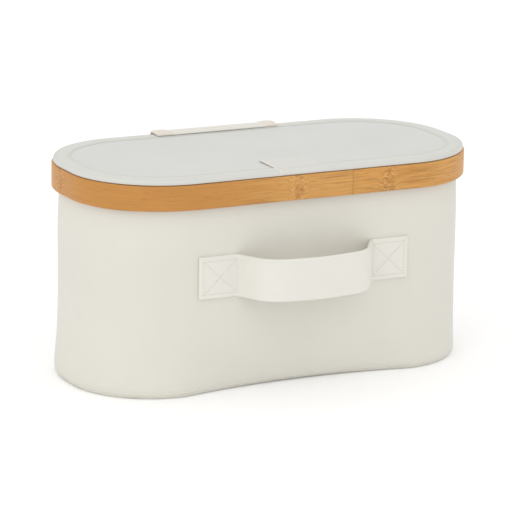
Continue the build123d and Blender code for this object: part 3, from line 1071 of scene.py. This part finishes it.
# %% [markdown]
# ## Stitches
# Every seam is a row of short thread beads. The seam lines are dropped onto the finished cloth, and
# a Geometry Nodes tree spaces the beads along them: it resamples the lines by the stitch pitch, sets
# one bead on each point, turns it along the line and makes the whole row one mesh.

# %% Seam lines


def drop(points, towards, target):
    """Moves points along a direction onto a finished piece, and a hair above it."""
    mesh = target.data
    tree = BVHTree.FromPolygons([v.co for v in mesh.vertices], [p.vertices for p in mesh.polygons])
    landed = []
    for point, direction in zip(points, np.broadcast_to(towards, np.shape(points))):
        ray = Vector(direction).normalized()
        hit = tree.ray_cast(Vector(point) - ray * 0.02, ray)[0]
        if hit:
            landed.append(hit - ray * 0.05 * MM)
    return landed


def run_between(corners, step=0.5 * MM):
    """Points along the straight runs between corners."""
    points = []
    for start, end in zip(corners[:-1], corners[1:]):
        start, end = np.array(start, float), np.array(end, float)
        count = max(2, int(np.linalg.norm(end - start) / step))
        points += [start + (end - start) * t for t in np.linspace(0, 1, count)]
    return np.array(points)


def ring_seam(ring, z, towards, target):
    """Closed seam round an outline at one height."""
    points = at_height(np.vstack([ring, ring[:1]]), z)
    if np.ndim(towards) == 2:
        towards = at_height(np.vstack([towards, towards[:1]]), 0)
    return drop(points, towards, target)


def box_line(low, high):
    """Closed line round a flat box between two of its corners."""
    (x0, y0, z0), (x1, y1, z1) = low, high
    return [(x0, y0, z0), (x1, y0, z0), (x1, y1, z1), (x0, y1, z1), (x0, y0, z0)]


def seam_object(name, seams):
    """Mesh of loose edges from lists of points."""
    verts, edges = [], []
    for seam in seams:
        first = len(verts)
        verts += [tuple(p) for p in seam]
        edges += [(k, k + 1) for k in range(first, len(verts) - 1)]
    mesh = bpy.data.meshes.new(name)
    mesh.from_pydata(verts, edges, [])
    return add_object(name, mesh)


def square_seams(side):
    """Box and cross sewn through one end of the handle."""
    margin = 4.2 * MM
    x0, x1 = sorted((side * (tip - margin), side * (inner + 1.5 * MM)))
    z0, z1 = handle_z - handle_tall / 2 + margin, handle_z + handle_tall / 2 - margin
    low, high = (x0, strap_y, z0), (x1, strap_y, z1)
    lines = [box_line(low, high), [(x0, strap_y, z1), (x1, strap_y, z0)], [low, high]]
    return [drop(run_between(line), (0, 1, 0), handle) for line in lines]


# %% Stitch tree
def stitch_tree():
    tree = bpy.data.node_groups.new("stitches", "GeometryNodeTree")
    inputs = {"Seams": "Geometry", "Pitch": "Float", "Length": "Float", "Width": "Float", "Seed": "Int",
              "Thread": "Material"}
    for label, kind in inputs.items():
        tree.interface.new_socket(label, in_out="INPUT", socket_type="NodeSocket" + kind)
    tree.interface.new_socket("Stitches", in_out="OUTPUT", socket_type="NodeSocketGeometry")

    def add(kind, **settings):
        node = tree.nodes.new(kind)
        for key, value in settings.items():
            setattr(node, key, value)
        return node

    given, result = add("NodeGroupInput"), add("NodeGroupOutput")
    curve = add("GeometryNodeMeshToCurve")
    space = add("GeometryNodeResampleCurve", mode="LENGTH")
    bead = add("GeometryNodeMeshUVSphere")
    bead.inputs["Segments"].default_value, bead.inputs["Rings"].default_value = 8, 6
    bead.inputs["Radius"].default_value = 0.5
    tangent = add("GeometryNodeInputTangent")
    turn = add("FunctionNodeAlignRotationToVector", axis="X")
    size = add("ShaderNodeCombineXYZ")
    vary = add("FunctionNodeRandomValue", data_type="FLOAT")
    vary.inputs[2].default_value, vary.inputs[3].default_value = 0.88, 1.08
    scale = add("ShaderNodeVectorMath", operation="SCALE")
    place = add("GeometryNodeInstanceOnPoints")
    real = add("GeometryNodeRealizeInstances")
    paint = add("GeometryNodeSetMaterial")
    for source, output, target, socket in (
        (given, "Seams", curve, 0), (curve, 0, space, "Curve"), (given, "Pitch", space, "Length"),
        (space, 0, place, "Points"), (bead, 0, place, "Instance"), (tangent, 0, turn, "Vector"),
        (turn, 0, place, "Rotation"), (given, "Length", size, 0), (given, "Width", size, 1),
        (given, "Width", size, 2), (given, "Seed", vary, "Seed"), (size, 0, scale, 0),
        (vary, 1, scale, "Scale"), (scale, 0, place, "Scale"), (place, 0, real, 0),
        (real, 0, paint, 0), (given, "Thread", paint, "Material"), (paint, 0, result, 0),
    ):
        tree.links.new(source.outputs[output], target.inputs[socket])
    return tree


STITCH_TREE = stitch_tree()


def stitches(name, body, seams, pitch=2.8 * MM, length=1.9 * MM, width=0.55 * MM, seed=1):
    """Thread beads along seams, as one plain mesh that rides on a body."""
    obj = seam_object(name, seams)
    values = {"Pitch": pitch, "Length": length, "Width": width, "Seed": seed, "Thread": thread}
    modifier = obj.modifiers.new("stitches", "NODES")
    modifier.node_group = STITCH_TREE
    for item in STITCH_TREE.interface.items_tree:
        if item.in_out == "INPUT" and item.name in values:
            modifier[item.identifier] = values[item.name]
    evaluated = obj.evaluated_get(bpy.context.evaluated_depsgraph_get())
    mesh = bpy.data.meshes.new_from_object(evaluated)
    obj.modifiers.clear()
    obj.data = mesh
    mesh.shade_smooth()
    return finish_piece(obj, body, "coated_fabric", thread)


# %% Sew the tub
FOOT_SEAM = 3.6 * MM                      # height of the base cover's seam
MOUTH_SEAM = skin_hi.z - 11 * MM
foot_ring, mouth_ring = full_plan(FOOT_SEAM, -COVER), tub_plan(MOUTH_SEAM, INNER)
hinge_x0, hinge_x1 = hinge_x - hinge_wide / 2 + 3 * MM, hinge_x + hinge_wide / 2 - 3 * MM
foot_box = box_line((hinge_x0, foot_y, tail_lo.z + 3 * MM), (hinge_x1, foot_y, tail_lo.z + 14 * MM))
tub_seams = square_seams(1) + square_seams(-1)
tub_seams.append(ring_seam(foot_ring, FOOT_SEAM, -outward(foot_ring), base_piece))
tub_seams.append(ring_seam(mouth_ring, MOUTH_SEAM, outward(mouth_ring), skin_piece))
tub_seams.append(drop(run_between(foot_box), (0, -1, 0), hinge))
stitches("tub_stitches", "tub", tub_seams, seed=3)

# %% Sew the lid
DOWN = (0, 0, -1)
leaf_y = leaf_lo.y + 2.2 * MM
leaf_box = box_line((hinge_x0, leaf_y, LID_TOP), (hinge_x1, leaf_y + 5 * MM, LID_TOP))
root_y = -83.5 * MM
root_line = [(flap_lo.x + 2.5 * MM, root_y, LID_TOP), (flap_hi.x - 2.5 * MM, root_y, LID_TOP)]
lid_seams = [ring_seam(lid_outline(BORDER - 1.9 * MM), LID_TOP, DOWN, binding)]
lid_seams.append(drop(run_between(leaf_box), DOWN, hinge))
lid_seams.append(drop(run_between(root_line), DOWN, tab))
stitches("lid_stitches", "lid", lid_seams, seed=5)

# %% [markdown]
# ## Hidden parts
# The boards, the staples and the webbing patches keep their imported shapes. They are seen only where
# the tub is taken apart, and they still get their own finishes: pressed fibre with darker flecks,
# drawn wire, and coarse webbing.

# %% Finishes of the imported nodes


def fibreboard_material():
    paint = Paint("fibreboard")
    where = paint.object_place()
    flecks = paint.noise(where, 900.0, 4.0, 0.7)
    cloud = paint.noise(where, 30.0, 2.0)
    base = paint.mix(flecks.soft_step(0.4, 0.65), (0.26, 0.19, 0.125), (0.42, 0.33, 0.23))
    paint.set(Base_Color=paint.mix(cloud * 0.3, base, (0.31, 0.24, 0.165)))
    paint.set(Roughness=0.8 + 0.1 * flecks)
    paint.bump(flecks, 0.08 * MM)
    return paint.material


def wire_material():
    paint = Paint("steel_wire")
    where = paint.object_place()
    drawn = paint.noise(where, 2500.0, 2.0)
    paint.set(Base_Color=paint.mix(drawn, (0.50, 0.50, 0.49), (0.66, 0.66, 0.65)), Metallic=1.0)
    paint.set(Roughness=0.28 + 0.15 * drawn)
    paint.bump(drawn, 0.01 * MM)
    return paint.material


def webbing_material():
    """Coarse diagonal weave on the object's own coordinates."""
    paint = Paint("webbing")
    where = paint.object_place()
    x, y = paint.split(where)
    z = paint.node("ShaderNodeSeparateXYZ", None, {0: where}, 2)
    ribs = ((x + y) * 2600.0).sine() * (z * 2600.0).sine()
    paint.set(Base_Color=paint.mix(0.5 + 0.5 * ribs, (0.42, 0.40, 0.35), (0.56, 0.54, 0.48)))
    paint.set(Roughness=0.85)
    paint.bump(ribs, 0.2 * MM)
    return paint.material


fibreboard, steel_wire, webbing = fibreboard_material(), wire_material(), webbing_material()
KEPT = {"band_staples": steel_wire, "handle_patches": webbing, "hinge_patch": webbing}
for name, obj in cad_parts.items():
    material = KEPT.get(name, fibreboard)
    for slot in obj.material_slots:
        slot.link = "OBJECT"
        slot.material = material
print("packed nodes with new finishes:", len(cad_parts))

# %% [markdown]
# ## Floor, light and camera
# A plain white floor, an even white surround and two large soft lights. The key stands low at the
# left and lifts the left end and the curve of the front; the fill hangs higher at the front left.

# %% Floor
def floor_sheet():
    half = 6.0
    corners = [(-half, -half, 0), (half, -half, 0), (half, half, 0), (-half, half, 0)]
    mesh = bpy.data.meshes.new("floor")
    mesh.from_pydata(corners, [], [(0, 1, 2, 3)])
    paint = Paint("floor_paper")
    grain = paint.noise(paint.object_place(), 60.0, 2.0)
    paint.set(Base_Color=paint.mix(grain, (0.94, 0.94, 0.94), (0.96, 0.96, 0.96)), Roughness=0.95)
    paint.set(Specular_IOR_Level=0.1, Emission_Color=(1.0, 1.0, 1.0), Emission_Strength=0.055)
    mesh.materials.append(paint.material)
    add_object("floor", mesh)


floor_sheet()

# %% Light
WORLD_STRENGTH = 1.02
AIM_HEIGHT = 0.1             # the lights look at the object's middle


def soft_light(name, azimuth, elevation, distance, size, power):
    """Square area light that looks at the middle of the object."""
    a, e = math.radians(azimuth), math.radians(elevation)
    away = Vector((math.sin(a) * math.cos(e), -math.cos(a) * math.cos(e), math.sin(e)))
    light = bpy.data.lights.new(name, "AREA")
    light.size, light.energy = size, power
    turned = away.to_track_quat("Z", "Y").to_matrix().to_4x4()
    place = away * distance + Vector((0, 0, AIM_HEIGHT))
    add_object(name, light).matrix_world = Matrix.Translation(place) @ turned


soft_light("key", azimuth=-70, elevation=30, distance=2.6, size=1.8, power=5.0)
soft_light("fill", azimuth=-30, elevation=52, distance=3.0, size=1.8, power=7.0)
world = bpy.data.worlds.new("studio")
world.use_nodes = True
surround = world.node_tree.nodes["Background"].inputs
surround["Color"].default_value = (1.0, 1.0, 1.0, 1.0)
surround["Strength"].default_value = WORLD_STRENGTH
bpy.context.scene.world = world
bpy.context.scene.view_settings.view_transform = "Standard"

# %% Camera
AZIMUTH, ELEVATION, ROLL = (math.radians(angle) for angle in (-27.2, 14.2, 1.0))
DISTANCE, LENS = 2.825, 222.0
TARGET = Vector((-0.0029, 0.0, 0.0961))


def aim_camera():
    level = math.cos(ELEVATION)
    back = Vector((math.sin(AZIMUTH) * level, -math.cos(AZIMUTH) * level, math.sin(ELEVATION)))
    across = Vector((math.cos(AZIMUTH), math.sin(AZIMUTH), 0.0))
    above = back.cross(across)
    right = across * math.cos(ROLL) + above * math.sin(ROLL)
    up = above * math.cos(ROLL) - across * math.sin(ROLL)
    camera = add_object("camera", bpy.data.cameras.new("camera"))
    camera.data.lens, camera.data.sensor_width, camera.data.clip_end = LENS, 36.0, 100.0
    turned = Matrix((right, up, back)).transposed().to_4x4()
    camera.matrix_world = Matrix.Translation(TARGET + back * DISTANCE) @ turned
    bpy.context.scene.camera = camera


aim_camera()
